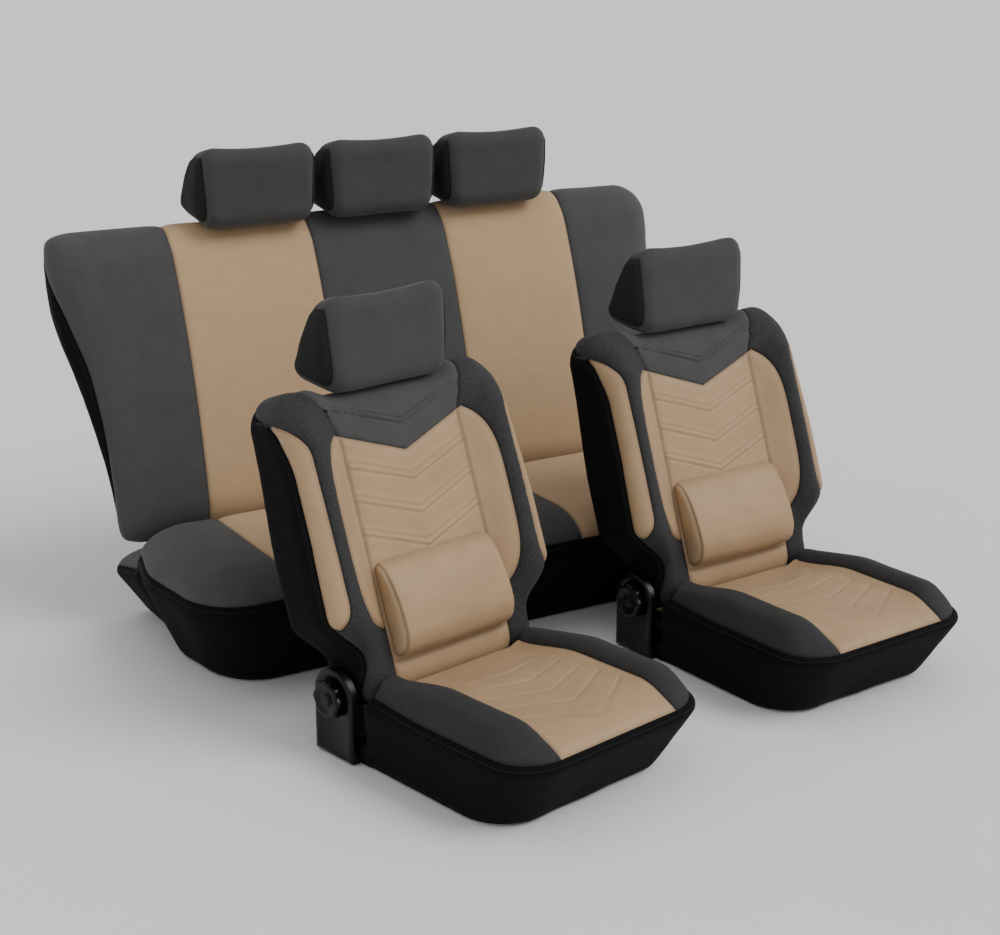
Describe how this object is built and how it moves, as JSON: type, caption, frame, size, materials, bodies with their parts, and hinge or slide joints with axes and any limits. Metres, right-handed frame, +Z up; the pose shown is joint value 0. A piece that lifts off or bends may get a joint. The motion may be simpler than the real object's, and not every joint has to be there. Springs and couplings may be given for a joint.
{
  "type": "seat cover set",
  "caption": "Truck seat cover set in tan leatherette and charcoal fabric, fitted on front bucket seats and a rear bench, with lumbar pads and headrest covers.",
  "frame": {"origin": "centre of the set's bounding box, on the floor", "axes": "+Z up, the seats face -Y, +X towards the occupants' left"},
  "size_m": [1.6032, 1.67, 1.0483],
  "materials": {
    "tan_leatherette": "satin grained leatherette with tone-on-tone stitching",
    "charcoal_fabric": "fine woven charcoal cloth",
    "black_fabric": "matt black stretch cloth",
    "foam": "moulded polyurethane foam",
    "steel": "bare and plated steel",
    "gloss_black": "glossy moulded black plastic"
  },
  "bodies": {
    "root": {"front_right_seat_base": "steel", "front_right_cushion_foam": "foam", "front_right_cushion_insert": "tan_leatherette", "front_right_cushion_side_right": "charcoal_fabric", "front_right_cushion_side_left": "charcoal_fabric", "front_right_cushion_skirt": "black_fabric", "front_right_recliner_shield": "gloss_black", "front_left_seat_base": "steel", "front_left_cushion_foam": "foam", "front_left_cushion_insert": "tan_leatherette", "front_left_cushion_side_right": "charcoal_fabric", "front_left_cushion_side_left": "charcoal_fabric", "front_left_cushion_skirt": "black_fabric", "front_left_recliner_shield": "gloss_black", "rear_seat_base": "steel", "rear_cushion_foam": "foam", "rear_cushion_outer_right": "charcoal_fabric", "rear_cushion_stripe_right": "tan_leatherette", "rear_cushion_middle": "charcoal_fabric", "rear_cushion_stripe_left": "tan_leatherette", "rear_cushion_outer_left": "charcoal_fabric", "rear_cushion_skirt": "black_fabric", "rear_back_foam": "foam", "rear_back_outer_right": "charcoal_fabric", "rear_back_stripe_right": "tan_leatherette", "rear_back_middle": "charcoal_fabric", "rear_back_stripe_left": "tan_leatherette", "rear_back_outer_left": "charcoal_fabric", "rear_back_cover": "black_fabric"},
    "front_right_backrest": {"front_right_back_foam": "foam", "front_right_back_frame": "steel", "front_right_back_rear_cover": "black_fabric", "front_right_back_surround": "charcoal_fabric", "front_right_back_insert": "tan_leatherette", "front_right_bolster_strip_right": "tan_leatherette", "front_right_bolster_strip_left": "tan_leatherette", "front_right_lumbar_pad": "tan_leatherette"},
    "front_right_headrest": {"front_right_headrest_foam": "foam", "front_right_headrest_cover": "charcoal_fabric", "front_right_headrest_posts": "steel"},
    "front_right_recliner_knob": {"front_right_recliner_knob": "gloss_black"},
    "front_left_backrest": {"front_left_back_foam": "foam", "front_left_back_frame": "steel", "front_left_back_rear_cover": "black_fabric", "front_left_back_surround": "charcoal_fabric", "front_left_back_insert": "tan_leatherette", "front_left_bolster_strip_right": "tan_leatherette", "front_left_bolster_strip_left": "tan_leatherette", "front_left_lumbar_pad": "tan_leatherette"},
    "front_left_headrest": {"front_left_headrest_foam": "foam", "front_left_headrest_cover": "charcoal_fabric", "front_left_headrest_posts": "steel"},
    "front_left_recliner_knob": {"front_left_recliner_knob": "gloss_black"},
    "rear_right_headrest": {"rear_right_headrest_cover": "charcoal_fabric", "rear_right_headrest_posts": "steel"},
    "rear_centre_headrest": {"rear_centre_headrest_cover": "charcoal_fabric", "rear_centre_headrest_posts": "steel"},
    "rear_left_headrest": {"rear_left_headrest_cover": "charcoal_fabric", "rear_left_headrest_posts": "steel"}
  },
  "joints": [
    {"name": "front_right_recline", "type": "hinge", "parent": "root", "child": "front_right_backrest", "pos_m": [-0.51656, -0.23145, 0.125], "axis": [-1, 0, 0], "range_deg": [-8, 21]},
    {"name": "front_right_headrest_height", "type": "slide", "parent": "front_right_backrest", "child": "front_right_headrest", "axis": [0, 0.342, 0.9397], "range_m": [0, 0.06]},
    {"name": "front_right_knob_turn", "type": "hinge", "parent": "root", "child": "front_right_recliner_knob", "pos_m": [-0.76356, -0.23145, 0.125], "axis": [-1, 0, 0], "range_deg": [-150, 380]},
    {"name": "front_left_recline", "type": "hinge", "parent": "root", "child": "front_left_backrest", "pos_m": [0.27244, -0.29745, 0.125], "axis": [-0.9932, 0.1167, 0], "range_deg": [-8, 21]},
    {"name": "front_left_headrest_height", "type": "slide", "parent": "front_left_backrest", "child": "front_left_headrest", "axis": [0.0399, 0.3397, 0.9397], "range_m": [0, 0.06]},
    {"name": "front_left_knob_turn", "type": "hinge", "parent": "root", "child": "front_left_recliner_knob", "pos_m": [0.02713, -0.26863, 0.125], "axis": [-0.9932, 0.1167, 0], "range_deg": [-150, 380]},
    {"name": "rear_right_headrest_height", "type": "slide", "parent": "root", "child": "rear_right_headrest", "axis": [0.0538, 0.2532, 0.9659], "range_m": [0, 0.06]},
    {"name": "rear_centre_headrest_height", "type": "slide", "parent": "root", "child": "rear_centre_headrest", "axis": [0.0538, 0.2532, 0.9659], "range_m": [0, 0.06]},
    {"name": "rear_left_headrest_height", "type": "slide", "parent": "root", "child": "rear_left_headrest", "axis": [0.0538, 0.2532, 0.9659], "range_m": [0, 0.06]}
  ],
  "couplings": [
    {"joint": "front_right_knob_turn", "follows": "front_right_recline", "ratio": 18},
    {"joint": "front_left_knob_turn", "follows": "front_left_recline", "ratio": 18}
  ]
}
